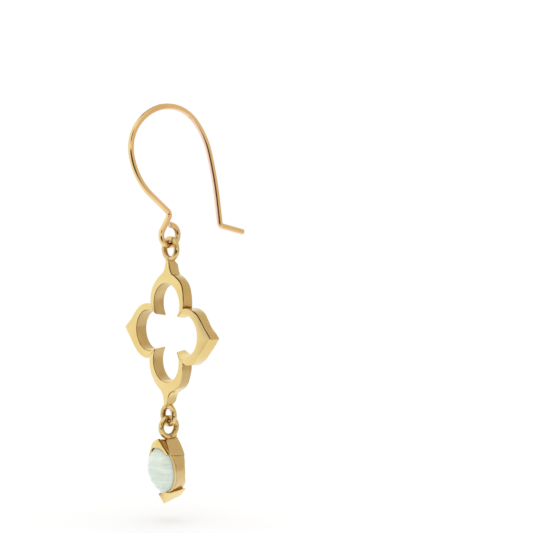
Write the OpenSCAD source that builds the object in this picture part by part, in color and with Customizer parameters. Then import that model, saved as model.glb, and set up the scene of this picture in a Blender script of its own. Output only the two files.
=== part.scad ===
// Moonstone drop earring: a round wire ear hook, a pierced quatrefoil and a stone in a V-capped setting.
// Millimetres, +Z up, -Y towards the viewer, origin at the wire's centre on the crown of the hook.

/* [Wire and links] */
// Diameter of the round wire of the hook and the rings
wire_d = 0.8; // [0.7:0.02:0.8]
// Gap between two wires that hang in each other
link_gap = 0.05; // [0.03:0.01:0.06]
// Distance of the rings' middle plane behind the crown
ring_back = 0.7; // [0.66:0.01:0.74]
// Centreline radius of the ring above the quatrefoil
top_ring_r = 1.37; // [1.3:0.01:1.45]
// Centreline radius of the ring below the quatrefoil
low_ring_r = 1.25; // [1.22:0.01:1.35]
// Centreline radius of the ring on the stone's setting
drop_ring_r = 1.3; // [1.28:0.01:1.34]

/* [Ear hook] */
// Centreline radius of the crown's rear half
crown_rear_r = 6.46; // [6:0.02:7]
// Turn of the crown's rear half in degrees
crown_rear_turn = 46.3; // [44:0.1:48]
// Radius of the bend where the wire falls behind the ear
fall_r = 11.05; // [10:0.05:12]
// Turn of that bend in degrees
fall_turn = 26.5; // [24:0.1:28]
// Radius of the slight bow of the long leg
leg_bow_r = 47.5; // [40:0.5:60]
// Turn of that bow in degrees
leg_bow_turn = 7.8; // [6:0.1:9]
// Straight length of the long leg
leg_len = 3.47; // [3:0.01:5]
// Radius of the tight bend above the toe
toe_r = 0.65; // [0.6:0.01:1]
// Turn of the tight bend in degrees
toe_turn = 66.8; // [60:0.1:72]
// Straight length of the toe
toe_len = 3.85; // [3:0.01:5]
// Centreline radius of the crown's front half
crown_front_r = 6.63; // [6.4:0.01:6.8]
// Turn of the crown's front half in degrees
crown_front_turn = 47.9; // [46:0.1:50]
// Radius of the front bow
bow_r = 5.02; // [4.8:0.01:5.2]
// Turn of the front bow in degrees
bow_turn = 55.6; // [54:0.1:57]
// Radius of the sweep down to the neck
sweep_r = 9.72; // [9.4:0.01:10]
// Turn of the sweep in degrees
sweep_turn = 38.2; // [37:0.1:40]
// Straight length above the neck
sweep_len = 3.5; // [3.2:0.01:3.8]
// Centreline radius of the neck's bend
neck_r = 0.75; // [0.7:0.01:0.85]
// Centreline radius of the eye
eye_r = 1.42; // [1.36:0.01:1.5]
// Distance of the eye's centre behind the crown
eye_y = 0.5; // [0.4:0.01:0.6]
// Depth of the eye's centre below the crown
eye_drop = 17.57; // [17.4:0.01:17.8]

/* [Quatrefoil] */
// Thickness of the plate
plate_t = 1.65; // [1.4:0.05:1.8]
// Depth of the plate's middle below the crown
plate_drop = 31.05; // [31:0.01:31.1]
// How far the plate's middle lies behind its rings
plate_back = 0.2; // [0:0.05:0.25]
// Radius of the outer lobes
lobe_r = 3.75; // [3.65:0.01:3.8]
// Distance of the outer lobes from the middle
lobe_out = 4.3; // [4.2:0.01:4.4]
// Radius of the four lobes of the opening
pierce_r = 2.88; // [2.85:0.01:2.95]
// Distance of those lobes from the middle
pierce_out = 3.98; // [3.94:0.01:4]
// Width of the two necks that carry the rings
tip_neck_w = 0.8; // [0.7:0.02:0.9]
// Radius of the hollow flank of each neck
tip_flank_r = 2; // [1.8:0.05:2.2]
// Height of the neck's end above the middle
tip_end = 10.05; // [9.95:0.01:10.1]
// Chamfer across the rear corner of each neck's end
tip_chamfer = 0.65; // [0.5:0.05:0.7]

/* [Stone] */
// Width of the stone
stone_w = 5.35; // [5.1:0.05:5.5]
// Length of the stone
stone_l = 7.7; // [7.6:0.05:7.8]
// Half angle of the stone's points
point_angle = 52; // [50:0.5:54]
// Height of each straight-sided point
point_h = 1.15; // [1:0.05:1.25]
// Height of the domed crown above the girdle
crown_h = 1.36; // [1.2:0.02:1.5]
// Thickness of the girdle
girdle_t = 0.24; // [0.2:0.02:0.3]
// Depth of the stone behind the girdle
pavilion_h = 1.0; // [0.8:0.05:1.1]

/* [Setting] */
// Lean of the drop, its foot swung to the rear, in degrees
drop_lean = 7.8; // [7:0.1:8]
// Depth of the stone's middle below the hinge
stone_drop = 6; // [5.95:0.01:6.05]
// Distance of the girdle in front of the hinge
girdle_front = 1.72; // [1.65:0.01:1.8]
// Clearance round the stone
stone_gap = 0.05; // [0.04:0.01:0.06]
// Thickness of the gallery wall at the stone's sides
gallery_t = 0.42; // [0.38:0.02:0.46]
// Thickness of the gallery wall at the stone's points
gallery_tip = 0.36; // [0.32:0.02:0.4]
// Width of the seat under the stone's edge
seat_w = 1.2; // [1:0.05:1.3]
// Depth of the solid metal inside both points of the setting
seat_tip = 2.2; // [2:0.05:2.3]
// Front of the gallery from the hinge
gallery_front = 1.9; // [1.85:0.01:1.95]
// Rear edge of the sides behind the hinge, along its straight part
side_back = 0.2; // [0.1:0.05:0.3]
// Reach of that straight part above the stone's middle
side_rise = 0.3; // [0.2:0.1:0.6]
// Reach of that straight part below the stone's middle
side_fall = 1.2; // [1:0.1:1.5]
// Rear edge behind the hinge at the upper cap's legs
leg_back = 0.66; // [0.6:0.02:0.7]
// Rear edge behind the hinge half way up the upper cap
roof_back = 1.1; // [1:0.05:1.2]
// Rear edge behind the hinge at the lower cap's legs
foot_back = 0.85; // [0.75:0.05:0.9]
// Width at the rear as a part of the width in front
taper_w = 0.77; // [0.75:0.01:0.8]
// Length at the rear as a part of the length in front
taper_l = 0.9; // [0.88:0.01:0.92]
// Thickness of the lip that is folded over the stone's upper point
lip_t = 0.42; // [0.35:0.01:0.45]
// Breadth of that lip at its point, along the stone
lip_w = 0.75; // [0.7:0.05:0.8]
// Half angle of the lip's V
lip_angle = 45; // [42:0.5:47]
// Height of its arms
lip_arm = 1.95; // [1.85:0.05:2.05]
// Height of the hollow under the lip above the stone's middle
hollow_h = 3.25; // [3.1:0.05:3.3]
// Half width of that hollow at the stone's middle
hollow_w = 2.45; // [2.3:0.05:2.5]
// Depth of the lip's point below the hinge
lip_drop = 1.72; // [1.68:0.01:1.8]
// Front of the lip's point from the hinge
lip_front = 2.13; // [2.1:0.01:2.2]
// Half angle of the upper cap's V
top_angle = 42.5; // [42:0.5:44]
// Depth of the upper cap's legs below its ridge
top_leg = 2.4; // [2.3:0.05:2.5]
// Front of the upper cap's legs from the hinge
leg_front = 1.95; // [1.9:0.01:2]
// Front end of the upper cap's ridge, in front of the hinge
ridge_front = 0.44; // [0.4:0.01:0.5]
// Rear end of the upper cap's ridge, behind the hinge
ridge_back = 1.27; // [1.2:0.01:1.3]
// Depth of the ridge below the hinge at its front end
ridge_drop = 1.68; // [1.65:0.01:1.75]
// Fall of the ridge to the rear in degrees
ridge_fall = 14; // [12:0.5:15]
// Half angle of the lower cap's V
low_angle = 42; // [40:0.5:44]
// Depth of the lower cap's legs below the hinge
low_leg_drop = 9.33; // [9.3:0.01:9.4]
// Front of the lower cap from the hinge
low_front = 2.13; // [2.1:0.01:2.2]
// Rear of the lower cap behind the hinge
low_back = 1.05; // [1:0.05:1.2]
// Width of the lower cap's rear as a part of its front
low_taper = 0.85; // [0.8:0.01:0.9]
// Depth of the lower cap's front point below the hinge
low_drop = 10.96; // [10.9:0.01:11]
// Rise of the lower cap's point to the rear in degrees
low_rise = 9; // [8:0.5:10]

/* [Hidden] */

hook_gold = [0.85, 0.66, 0.42];
pale_gold = [0.88, 0.76, 0.48];
milk = [0.86, 0.9, 0.86];

wire_r = wire_d / 2;
fine = 48;
arc_step = 7.5;
wire_sides = 16;
end_chamfer = 0.12;
grip = 0.02;
over = 1;
far = 20;
lobe_steps = 8;
oval_steps = 3;

// Wires that hang in each other have their centres this far apart.
hang = wire_d + link_gap;

// The neck leaves one circle on its right and meets the eye, the other circle, on its left.
front_start = walk([0, 0, 180], [[crown_front_r, crown_front_turn], [bow_r, bow_turn], [sweep_r, sweep_turn]], 3);
neck_start = ahead(front_start, sweep_len);
neck_c = beside(neck_start, -neck_r);
eye_c = [eye_y, -eye_drop];
link_v = eye_c - neck_c;
link_l = norm(link_v);
neck_heading = atan2(link_v.y, link_v.x) - asin((neck_r + eye_r) / link_l);
neck_turn = neck_start[2] - 360 - neck_heading;
neck_len = sqrt(link_l * link_l - (neck_r + eye_r) * (neck_r + eye_r));
// The eye's cut end stops one gap short of the neck.
eye_turn = 360 - acos((eye_r - wire_r - link_gap) / (eye_r + wire_r));

// Bends of the hook: [radius, turn], turn to the left positive, or [length, 0] for a straight run
REAR = [
    [crown_rear_r, -crown_rear_turn],
    [fall_r, -fall_turn],
    [leg_bow_r, -leg_bow_turn],
    [leg_len, 0],
    [toe_r, toe_turn],
    [toe_len, 0]
];
FRONT = [
    [crown_front_r, crown_front_turn],
    [bow_r, bow_turn],
    [sweep_r, sweep_turn],
    [sweep_len, 0],
    [neck_r, -neck_turn],
    [neck_len, 0],
    [eye_r, eye_turn]
];

// The rings hang near the eye's lowest point, on the plumb line of the quatrefoil.
off_eye = ring_back - eye_y;
top_ring_z = -eye_drop - sqrt(pow(eye_r - hang, 2) - off_eye * off_eye) - top_ring_r;
plate_y = ring_back + plate_back;
plate_z = -plate_drop;
low_ring_z = plate_z - (top_ring_z - plate_z) + (top_ring_r - low_ring_r);
hinge_z = low_ring_z - low_ring_r;
drop_ring_z = hang - drop_ring_r;

// Crown of the stone: [part of the outline, part of the crown's height]
CROWN = [[0.87, 0.53], [0.64, 0.85], [0.42, 1]];
// Pavilion of the stone: [part of the outline, part of the pavilion's depth]
PAVILION = [[0.72, 0.55], [0.3, 1]];

gallery_len = gallery_front + ridge_back;

// Heights on the setting above the stone's middle
ridge_h = stone_drop - ridge_drop;
leg_h = ridge_h - top_leg;
lip_h = stone_drop - lip_drop;
foot_h = stone_drop - low_leg_drop;
point_low = stone_drop - low_drop;

// A place on the wire is [y, z, heading]; these move it on.
function ahead(p, len) = [p[0] + len * cos(p[2]), p[1] + len * sin(p[2]), p[2]];
function beside(p, r) = [p[0] - r * sin(p[2]), p[1] + r * cos(p[2])];
function around(p, r, turn) = let (side = sign(turn) * r, c = beside(p, side), h = p[2] + turn)
    [c.x + side * sin(h), c.y - side * cos(h), h];
function step(p, row) = row[1] == 0 ? ahead(p, row[0]) : around(p, row[0], row[1]);
function walk(p, rows, count) = count == 0 ? p : step(walk(p, rows, count - 1), rows[count - 1]);

function on_arc(c, r, a) = [c.x + r * cos(a), c.y + r * sin(a)];
function turned(pts, a) = [for (p = pts) [p.x * cos(a) - p.y * sin(a), p.x * sin(a) + p.y * cos(a)]];

// Places along the rows of a bend table, one every few degrees of a bend.
function places(start, rows) = [
    for (i = [0:len(rows) - 1])
        let (p = walk(start, rows, i), row = rows[i], n = ceil(abs(row[1]) / arc_step + grip))
            for (k = [1:n])
                step(p, row[1] == 0 ? [row[0] * k / n, 0] : [row[0], row[1] * k / n])
];
function backwards(list) = [for (i = [len(list) - 1:-1:0]) [list[i][0], list[i][1], list[i][2] + 180]];

// A round wire through a list of places in the YZ plane, with a chamfer at both ends.
module swept_wire(path) {
    last = len(path) - 1;
    tube = concat(
        [[path[0], wire_r - end_chamfer], [ahead(path[0], end_chamfer), wire_r]],
        [for (i = [1:last - 1]) [path[i], wire_r]],
        [[ahead(path[last], -end_chamfer), wire_r], [path[last], wire_r - end_chamfer]]
    );
    points = [
        for (place = tube)
            for (k = [0:wire_sides - 1])
                let (p = place[0], out = place[1] * cos(360 * k / wire_sides))
                    [place[1] * sin(360 * k / wire_sides), p[0] - out * sin(p[2]), p[1] + out * cos(p[2])]
    ];
    n = wire_sides;
    sides = [
        for (i = [0:len(tube) - 2])
            for (k = [0:n - 1])
                [i * n + k, (i + 1) * n + k, (i + 1) * n + (k + 1) % n, i * n + (k + 1) % n]
    ];
    start_face = [[for (k = [0:n - 1]) k]];
    end_face = [[for (k = [n - 1:-1:0]) (len(tube) - 1) * n + k]];
    polyhedron(points, concat(start_face, sides, end_face));
}

// A closed ring of the same wire, round the Z axis.
module ring(r) {
    rotate_extrude($fn = 2 * fine)
        translate([r, 0])
            circle(r = wire_r, $fn = fine);
}

module ear_hook() {
    color(hook_gold)
        swept_wire(concat(backwards(places([0, 0, 0], REAR)), [[0, 0, 180]], places([0, 0, 180], FRONT)));
}

// Outline of one outer lobe, pointing up: from the right notch over the tip to the left notch.
notch = lobe_out / 2 + sqrt(lobe_r * lobe_r / 2 - lobe_out * lobe_out / 4);
notch_angle = atan2(notch - lobe_out, notch);
tip_z = lobe_out + lobe_r * sqrt(2);
function lobe_side() = [
    for (i = [0:lobe_steps])
        on_arc([0, lobe_out], lobe_r, notch_angle + (45 - notch_angle) * i / lobe_steps)
];
function plain_tip() = [[0, tip_z]];
// The flank's arc is tangent to the 45 degree side of the tip and to the side of the neck.
flank_c = [tip_neck_w / 2 + tip_flank_r, tip_z - tip_neck_w / 2 + tip_flank_r * tan(45 / 2)];
function neck_tip() = concat(
    [for (a = [225:-arc_step:180]) on_arc(flank_c, tip_flank_r, a)],
    [[tip_neck_w / 2, tip_end], [-tip_neck_w / 2, tip_end]],
    [for (a = [360:-arc_step:315]) on_arc([-flank_c.x, flank_c.y], tip_flank_r, a)]
);
function mirrored(pts) = [for (i = [len(pts) - 1:-1:0]) [-pts[i].x, pts[i].y]];
function lobe(tip) = concat(lobe_side(), tip, mirrored(lobe_side()));

module plate_outline() {
    polygon(concat(
        lobe(neck_tip()),
        turned(lobe(plain_tip()), 90),
        turned(lobe(neck_tip()), 180),
        turned(lobe(plain_tip()), 270)
    ));
}

module plate_opening() {
    heart = pierce_out * sqrt(2) / 2;
    rotate([90, 0, 0]) {
        cylinder(r = heart, h = far, center = true, $fn = 2 * fine);
        for (a = [0:90:270])
            rotate(a)
                translate([pierce_out, 0, 0])
                    cylinder(r = pierce_r, h = far, center = true, $fn = 2 * fine);
    }
}

// Wedge that takes the rear corner off the end of a neck.
module neck_chamfer() {
    translate([0, plate_t / 2, tip_end - tip_chamfer])
        rotate([45, 0, 0])
            translate([-far / 2, 0, 0])
                cube(far);
}

module quatrefoil() {
    color(pale_gold) {
        translate([0, plate_y, plate_z])
            difference() {
                translate([0, plate_t / 2, 0])
                    rotate([90, 0, 0])
                        linear_extrude(plate_t)
                            plate_outline();
                plate_opening();
                neck_chamfer();
                mirror([0, 0, 1])
                    neck_chamfer();
            }
        translate([0, ring_back, top_ring_z])
            rotate([90, 0, 0])
                ring(top_ring_r);
        translate([0, ring_back, low_ring_z])
            rotate([90, 0, 0])
                ring(low_ring_r);
    }
}

// Pointed oval of the stone, grown by g at the sides and by tip at both points.
function oval(g, tip) = let (
        hw = stone_w / 2 + g,
        hl = stone_l / 2 + tip,
        pz = hl - point_h,
        px = point_h * tan(point_angle),
        r = (pow(hw - px, 2) + pz * pz) / (2 * (hw - px)),
        a = asin(pz / r),
        side = [for (i = [-oval_steps:oval_steps]) on_arc([hw - r, 0], r, a * i / oval_steps)]
    )
    concat(side, [[0, hl]], [for (p = side) -p], [[0, -hl]]);
function grown(g) = oval(g, g / sin(point_angle));

// Everything of the drop is drawn round the stone's middle, X across, Y up and Z to the rear.
module in_drop() {
    translate([0, ring_back, hinge_z])
        rotate([drop_lean, 0, 0])
            translate([0, 0, -stone_drop])
                mirror([0, 1, 0])
                    rotate([90, 0, 0])
                        children();
}

// The stone's outlines from the table to the rear, each row [part of the outline, depth]
function stone_rows(g) = concat(
    [for (i = [len(CROWN) - 1:-1:0]) [CROWN[i][0], -girdle_front - girdle_t / 2 - g - CROWN[i][1] * crown_h]],
    [[1, -girdle_front - girdle_t / 2 - g], [1, -girdle_front + girdle_t / 2 + g]],
    [for (row = PAVILION) [row[0], -girdle_front + girdle_t / 2 + g + row[1] * pavilion_h]]
);

module cut_stone(g) {
    outline = grown(g);
    rows = stone_rows(g);
    n = len(outline);
    points = [for (row = rows) for (p = outline) [p.x * row[0], p.y * row[0], row[1]]];
    sides = [
        for (k = [0:len(rows) - 2]) for (i = [0:n - 1])
            [k * n + i, (k + 1) * n + i, (k + 1) * n + (i + 1) % n, k * n + (i + 1) % n]
    ];
    table = [[for (i = [0:n - 1]) i]];
    keel = [[for (i = [n - 1:-1:0]) (len(rows) - 1) * n + i]];
    polyhedron(points, concat(table, sides, keel));
}

module moonstone() {
    color(milk)
        in_drop()
            cut_stone(0);
}

// A solid of an outline between two depths, tapering as the whole setting does.
module tapered(front, back) {
    at_front = taper_at(front);
    at_back = taper_at(back);
    translate([0, 0, front])
        linear_extrude(back - front, scale = [at_back.x / at_front.x, at_back.y / at_front.y])
            scale(at_front)
                children();
}

function taper_at(depth) = let (part = (depth + gallery_front) / gallery_len)
    [1 - part * (1 - taper_w), 1 - part * (1 - taper_l)];

// A V with its point up: two arms of the given height, filled in between.
module vee(angle, height) {
    half = height * tan(angle);
    polygon([[0, 0], [-half, -height], [half, -height]]);
}

// A profile seen from the side, [depth, height], right across the drop.
module across() {
    rotate([90, 0, 90])
        mirror([1, 0, 0])
            rotate(90)
                linear_extrude(far, center = true)
                    children();
}

// Roof of the upper cap: a V whose ridge falls to the rear and whose front slants down to its legs.
module upper_roof() {
    difference() {
        translate([0, ridge_h, -ridge_front])
            rotate([ridge_fall, 0, 0])
                translate([0, 0, -far / 2])
                    linear_extrude(far)
                        vee(top_angle, top_leg);
        across()
            polygon([
                [-ridge_front, ridge_h],
                [-leg_front, leg_h],
                [-leg_front, -far],
                [-far, -far],
                [-far, far],
                [-ridge_front, far]
            ]);
    }
}

// Lip of the upper cap: a V folded over the crown of the stone, hollow below and cut off level.
module upper_lip() {
    intersection() {
        union() {
            cut_stone(lip_t);
            translate([-far / 2, stone_l / 2 - lip_w, -lip_front])
                cube([far, far, lip_front - girdle_front]);
        }
        translate([0, 0, -far - girdle_front])
            linear_extrude(far)
                difference() {
                    translate([0, lip_h])
                        vee(lip_angle, lip_arm);
                    scale([hollow_w, hollow_h])
                        circle(1);
                }
    }
}

// The lower cap is a solid V under the stone, narrower to the rear, its legs cut off level.
module lower_cap() {
    intersection() {
        translate([0, point_low, -low_front])
            rotate([-low_rise, 0, 0])
                translate([0, 0, -over])
                    linear_extrude(low_front + low_back + 2 * over, scale = [low_taper, 1])
                        mirror([0, 1])
                            vee(low_angle, stone_l / 2);
        translate([-far / 2, foot_h - far, -low_front])
            cube([far, far, low_front + low_back]);
    }
}

// The rear edge runs straight along the sides and slopes back to both ridges.
module rear_cut() {
    across()
        polygon([
            [low_back, -far],
            [low_back, point_low],
            [foot_back, foot_h],
            [side_back, -side_fall],
            [side_back, side_rise],
            [leg_back, leg_h],
            [roof_back, (leg_h + ridge_h) / 2],
            [ridge_back, ridge_h],
            [ridge_back, far],
            [far, far],
            [far, -far]
        ]);
}

module gallery() {
    tapered(-gallery_front, ridge_back)
        polygon(oval(gallery_t, gallery_tip));
}

module stone_setting() {
    color(pale_gold) {
        translate([0, ring_back, hinge_z])
            rotate([drop_lean, 0, 0])
                translate([0, 0, drop_ring_z])
                    rotate([0, 90, 0])
                        ring(drop_ring_r);
        in_drop()
            difference() {
                union() {
                    difference() {
                        union() {
                            gallery();
                            upper_roof();
                        }
                        rear_cut();
                    }
                    upper_lip();
                    lower_cap();
                }
                tapered(-girdle_front, ridge_back + over)
                    polygon(oval(-seat_w, -seat_tip));
                cut_stone(stone_gap);
            }
    }
}

ear_hook();
quatrefoil();
stone_setting();
moonstone();
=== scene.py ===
import bpy
import numpy as np
from mathutils import Matrix


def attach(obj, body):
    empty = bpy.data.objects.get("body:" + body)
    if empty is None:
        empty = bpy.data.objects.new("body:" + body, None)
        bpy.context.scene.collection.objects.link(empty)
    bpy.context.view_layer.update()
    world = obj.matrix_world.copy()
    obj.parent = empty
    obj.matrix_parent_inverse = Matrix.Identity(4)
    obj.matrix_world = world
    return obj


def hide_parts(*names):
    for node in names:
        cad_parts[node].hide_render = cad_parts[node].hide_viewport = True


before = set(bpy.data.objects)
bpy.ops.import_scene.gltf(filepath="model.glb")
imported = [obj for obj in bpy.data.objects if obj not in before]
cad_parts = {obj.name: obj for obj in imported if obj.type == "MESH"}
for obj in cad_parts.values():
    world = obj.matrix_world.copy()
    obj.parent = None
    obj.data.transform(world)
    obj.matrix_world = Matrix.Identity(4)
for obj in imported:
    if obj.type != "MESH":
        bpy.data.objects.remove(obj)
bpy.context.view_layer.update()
mm = 0.001
print("frame loaded:", sorted(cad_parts))


# Helpers for shapes

def addObject(name, data):
    added = bpy.data.objects.new(name, data)
    bpy.context.scene.collection.objects.link(added)
    return added


def fullTurn(count):
    # Even angles round a circle, in radians.
    return np.linspace(0, 2 * np.pi, count, endpoint=False)


def buildMesh(name, points, faceSets, sharpAngle=32, shadeAndGrime=None):
    # points in mm, faceSets a list of arrays [count, corners]; the faces are turned outwards by the sign of
    # the volume, a sixth of the sum of the triple products of each face's corners. The last argument gives
    # each point's darkening: 0 is clean gold, 0.5 brown, 0.7 amber, and 0.9 or more dark. For the most
    # part it is painted shade and painted reflection; in hollows and joints it also stands for a duller
    # finish.
    points = np.asarray(points, float).reshape(-1, 3)
    faceSets = [np.asarray(f, np.int64) for f in faceSets if len(f)]
    volume = 0.0
    for f in faceSets:
        for k in range(1, f.shape[1] - 1):
            a, b, c = points[f[:, 0]], points[f[:, k]], points[f[:, k + 1]]
            volume += np.einsum("ij,ij->", a, np.cross(b, c)) / 6
    if volume < 0:
        faceSets = [f[:, ::-1] for f in faceSets]
    mesh = bpy.data.meshes.new(name)
    totals = np.concatenate([np.full(len(f), f.shape[1]) for f in faceSets])
    loops = np.concatenate([f.reshape(-1) for f in faceSets])
    starts = np.concatenate([[0], np.cumsum(totals)[:-1]])
    mesh.vertices.add(len(points))
    mesh.vertices.foreach_set("co", (points * mm).reshape(-1))
    mesh.loops.add(len(loops))
    mesh.loops.foreach_set("vertex_index", loops)
    mesh.polygons.add(len(totals))
    mesh.polygons.foreach_set("loop_start", starts)
    mesh.polygons.foreach_set("loop_total", totals)
    mesh.update(calc_edges=True)
    mesh.validate()
    mesh.polygons.foreach_set("use_smooth", np.full(len(mesh.polygons), sharpAngle > 0))
    if sharpAngle > 0:
        mesh.set_sharp_from_angle(angle=np.radians(sharpAngle))
    if shadeAndGrime is not None:
        share = np.zeros(len(points))
        share[:np.size(shadeAndGrime)] = np.clip(shadeAndGrime, 0, 1.4).reshape(-1)
        mesh.attributes.new("shadeAndGrime", "FLOAT", "POINT").data.foreach_set("value", share)
    return addObject(name, mesh)


def gridFaces(rows, columns, closeRows=False):
    # Quads between neighbours of a grid that is closed round its columns.
    index = np.arange(rows * columns).reshape(rows, columns)
    a = index if closeRows else index[:-1]
    d = np.roll(index, -1, 0) if closeRows else index[1:]
    b, c = np.roll(a, -1, 1), np.roll(d, -1, 1)
    return np.stack([a, b, c, d], -1).reshape(-1, 4)


def tubePiece(name, rings, shadeAndGrime):
    # A tube through rings of points [rows, around, 3], with both ends closed by a fan to a middle point.
    n, m = rings.shape[:2]
    points = np.concatenate([rings.reshape(-1, 3), rings[:1].mean(1), rings[-1:].mean(1)])
    ends = np.arange(m)
    startFan = np.stack([np.roll(ends, -1), ends, np.full(m, n * m)], -1)
    endFan = np.stack([ends, np.roll(ends, -1), np.full(m, 0)], -1) + (n - 1) * m
    endFan[:, 2] = n * m + 1
    return buildMesh(name, points, [gridFaces(n, m), startFan, endFan], shadeAndGrime=shadeAndGrime)


def loopPiece(name, rings, shadeAndGrime):
    # A surface closed both ways, like a torus.
    return buildMesh(name, rings, [gridFaces(*rings.shape[:2], True)], shadeAndGrime=shadeAndGrime)


cornerSteps = 3  # steps along each rounded corner of a strip


def roundedSection(corners, radius):
    # corners [n, c, 3] of sections; each corner becomes a curve C + r(1-t)^2 a + r t^2 b, with a and b the
    # unit directions to its neighbours.
    before = np.roll(corners, 1, 1) - corners
    after = np.roll(corners, -1, 1) - corners
    before /= np.linalg.norm(before, axis=2, keepdims=True)
    after /= np.linalg.norm(after, axis=2, keepdims=True)
    t = np.linspace(0, 1, cornerSteps + 1)[None, None, :, None]
    out = corners[:, :, None] + radius * ((1 - t) ** 2 * before[:, :, None] + t ** 2 * after[:, :, None])
    return out.reshape(len(corners), -1, 3)


def stripPiece(name, corners, radius, shadeAndGrime):
    # A bar through sections of four corners or more: its long edges are rounded, and each end section is
    # moved in by the radius and followed by one drawn towards its middle. Its painted shade is given as
    # [rows, corners].
    def shrunk(section, towards):
        middle = section.mean(0, keepdims=True)
        side = towards.mean(0, keepdims=True) - middle
        side /= np.linalg.norm(side)
        inwards = middle - section
        inwards *= radius / np.linalg.norm(inwards, axis=1, keepdims=True)
        return section + inwards, section + side * radius
    firstIn, firstOut = shrunk(corners[0], corners[1])
    lastIn, lastOut = shrunk(corners[-1], corners[-2])
    rows = np.concatenate([firstIn[None], firstOut[None], corners[1:-1], lastOut[None], lastIn[None]])
    return tubePiece(name, roundedSection(rows, radius), np.repeat(shadeAndGrime, cornerSteps + 1, axis=1))


def ramp(value, start, end):
    # Rises evenly from 0 at start to 1 at end, which may be the lower of the two.
    return np.clip((value - start) / (end - start), 0, 1)


# Ear hook: one wire through a chain of bends in the plane X = 0

hook = {
    # A bend is its radius and its turn, and a straight run is its length and 0.
    "wireR": 0.4, "sides": 28, "bendStep": 3.0, "straightStep": 0.4, "endRound": 0.16,
    "rear": [(6.46, -46.3), (11.05, -26.5), (47.5, -7.8), (3.47, 0), (0.65, 66.8), (3.85, 0)],
    "front": [(6.63, 47.9), (5.02, 55.6), (9.72, 38.2), (3.5, 0)],
    "neckR": 0.75, "eyeR": 1.42, "eyeY": 0.5, "eyeDrop": 17.57, "gap": 0.05,
    # painted shade inside the eye and where the next ring hangs, and a painted olive reflection on the bow
    "eyeShade": 0.45, "contactShade": 0.22, "oliveReflectionLine": 0.72, "oliveReflectionEnd": -2.1,
}


def bendPath(start, bends):
    # Places [y, z, heading] along a chain: on a bend of radius r the heading turns evenly and the place
    # runs round the centre that lies r to the side; on a straight run it moves along the heading.
    place, chain = np.array(start, float), [np.array([start], float)]
    for size, turn in bends:
        if turn == 0:
            t = np.linspace(0, 1, max(2, int(size / hook["straightStep"])) + 1)[1:]
            run = np.stack([place[0] + size * t * np.cos(np.radians(place[2])),
                            place[1] + size * t * np.sin(np.radians(place[2])),
                            np.full_like(t, place[2])], -1)
        else:
            side = np.sign(turn) * size
            t = np.linspace(0, 1, max(4, int(abs(turn) / hook["bendStep"])) + 1)[1:]
            h0, h = np.radians(place[2]), np.radians(place[2] + turn * t)
            run = np.stack([place[0] - side * np.sin(h0) + side * np.sin(h),
                            place[1] + side * np.cos(h0) - side * np.cos(h),
                            place[2] + turn * t], -1)
        chain.append(run)
        place = run[-1]
    return np.concatenate(chain)


def hookPlaces():
    # The neck's bend turns right and the eye turns left; the straight between them touches both circles.
    front = bendPath((0, 0, 180), hook["front"])
    end, rad = front[-1], np.radians(front[-1][2])
    neckC = end[:2] + hook["neckR"] * np.array([np.sin(rad), -np.cos(rad)])
    eyeC = np.array([hook["eyeY"], -hook["eyeDrop"]])
    link = eyeC - neckC
    reach = hook["neckR"] + hook["eyeR"]
    heading = np.degrees(np.arctan2(link[1], link[0]) - np.arcsin(reach / np.hypot(*link)))
    neckTurn = end[2] - 360 - heading
    neckLen = np.sqrt(link @ link - reach ** 2)
    wireR = hook["wireR"]
    eyeTurn = 360 - np.degrees(np.arccos((hook["eyeR"] - wireR - hook["gap"]) / (hook["eyeR"] + wireR)))
    bends = hook["front"] + [(hook["neckR"], -neckTurn), (neckLen, 0), (hook["eyeR"], eyeTurn)]
    front = bendPath((0, 0, 180), bends)
    rear = bendPath((0, 0, 0), hook["rear"])[:0:-1]
    rear[:, 2] += 180
    return np.concatenate([rear, front])


def wireRings(places, wireR, sides):
    # Each place carries a circle across its heading: the radius times the cosine goes outwards and the
    # radius times the sine goes along x. The two ends are rounded off in four steps.
    def moved(place, along):
        rad = np.radians(place[2])
        return np.array([place[0] + along * np.cos(rad), place[1] + along * np.sin(rad), place[2]])
    r = hook["endRound"]
    t = np.radians([90, 67, 45, 22, 0])
    head = np.array([moved(places[0], r - r * np.sin(a)) for a in t])
    tail = np.array([moved(places[-1], -(r - r * np.sin(a))) for a in t[::-1]])
    path = np.concatenate([head, places[1:-1], tail])
    radii = np.concatenate([wireR - r + r * np.cos(t), np.full(len(places) - 2, wireR),
                            wireR - r + r * np.cos(t[::-1])])
    around = fullTurn(sides)
    rad = np.radians(path[:, 2])[:, None]
    out = radii[:, None] * np.cos(around)[None]
    x = radii[:, None] * np.sin(around)[None]
    return np.stack([x, path[:, :1] - out * np.sin(rad), path[:, 1:2] + out * np.cos(rad)], -1)


# Minus the cosine round the wire: 1 on the outside of the bow and -1 on its inside.
bowSide = -np.cos(fullTurn(hook["sides"]))


def hookShadeAndReflection(rings):
    # Painted shade: brown on the inside of the eye, most of all at its lowest point, where the next ring
    # hangs. Painted reflection: a thin olive line along the outside of the bow, in front of the crown.
    y, z = rings[..., 1] - hook["eyeY"], rings[..., 2] + hook["eyeDrop"]
    inside = np.clip((hook["eyeR"] - np.hypot(y, z)) / hook["wireR"], 0, 1)
    low = np.exp(-((z + hook["eyeR"]) / 0.55) ** 2)
    line = ramp(bowSide, 0.8, 0.92) * ramp(rings[..., 1], 0, -1.5)
    line = line * ramp(rings[..., 2], hook["oliveReflectionEnd"], hook["oliveReflectionEnd"] + 0.9)
    return np.maximum(inside * (hook["eyeShade"] + hook["contactShade"] * low), hook["oliveReflectionLine"] * line)


hookRings = wireRings(hookPlaces(), hook["wireR"], hook["sides"])
hookWire = tubePiece("hookWire", hookRings, hookShadeAndReflection(hookRings))
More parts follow.
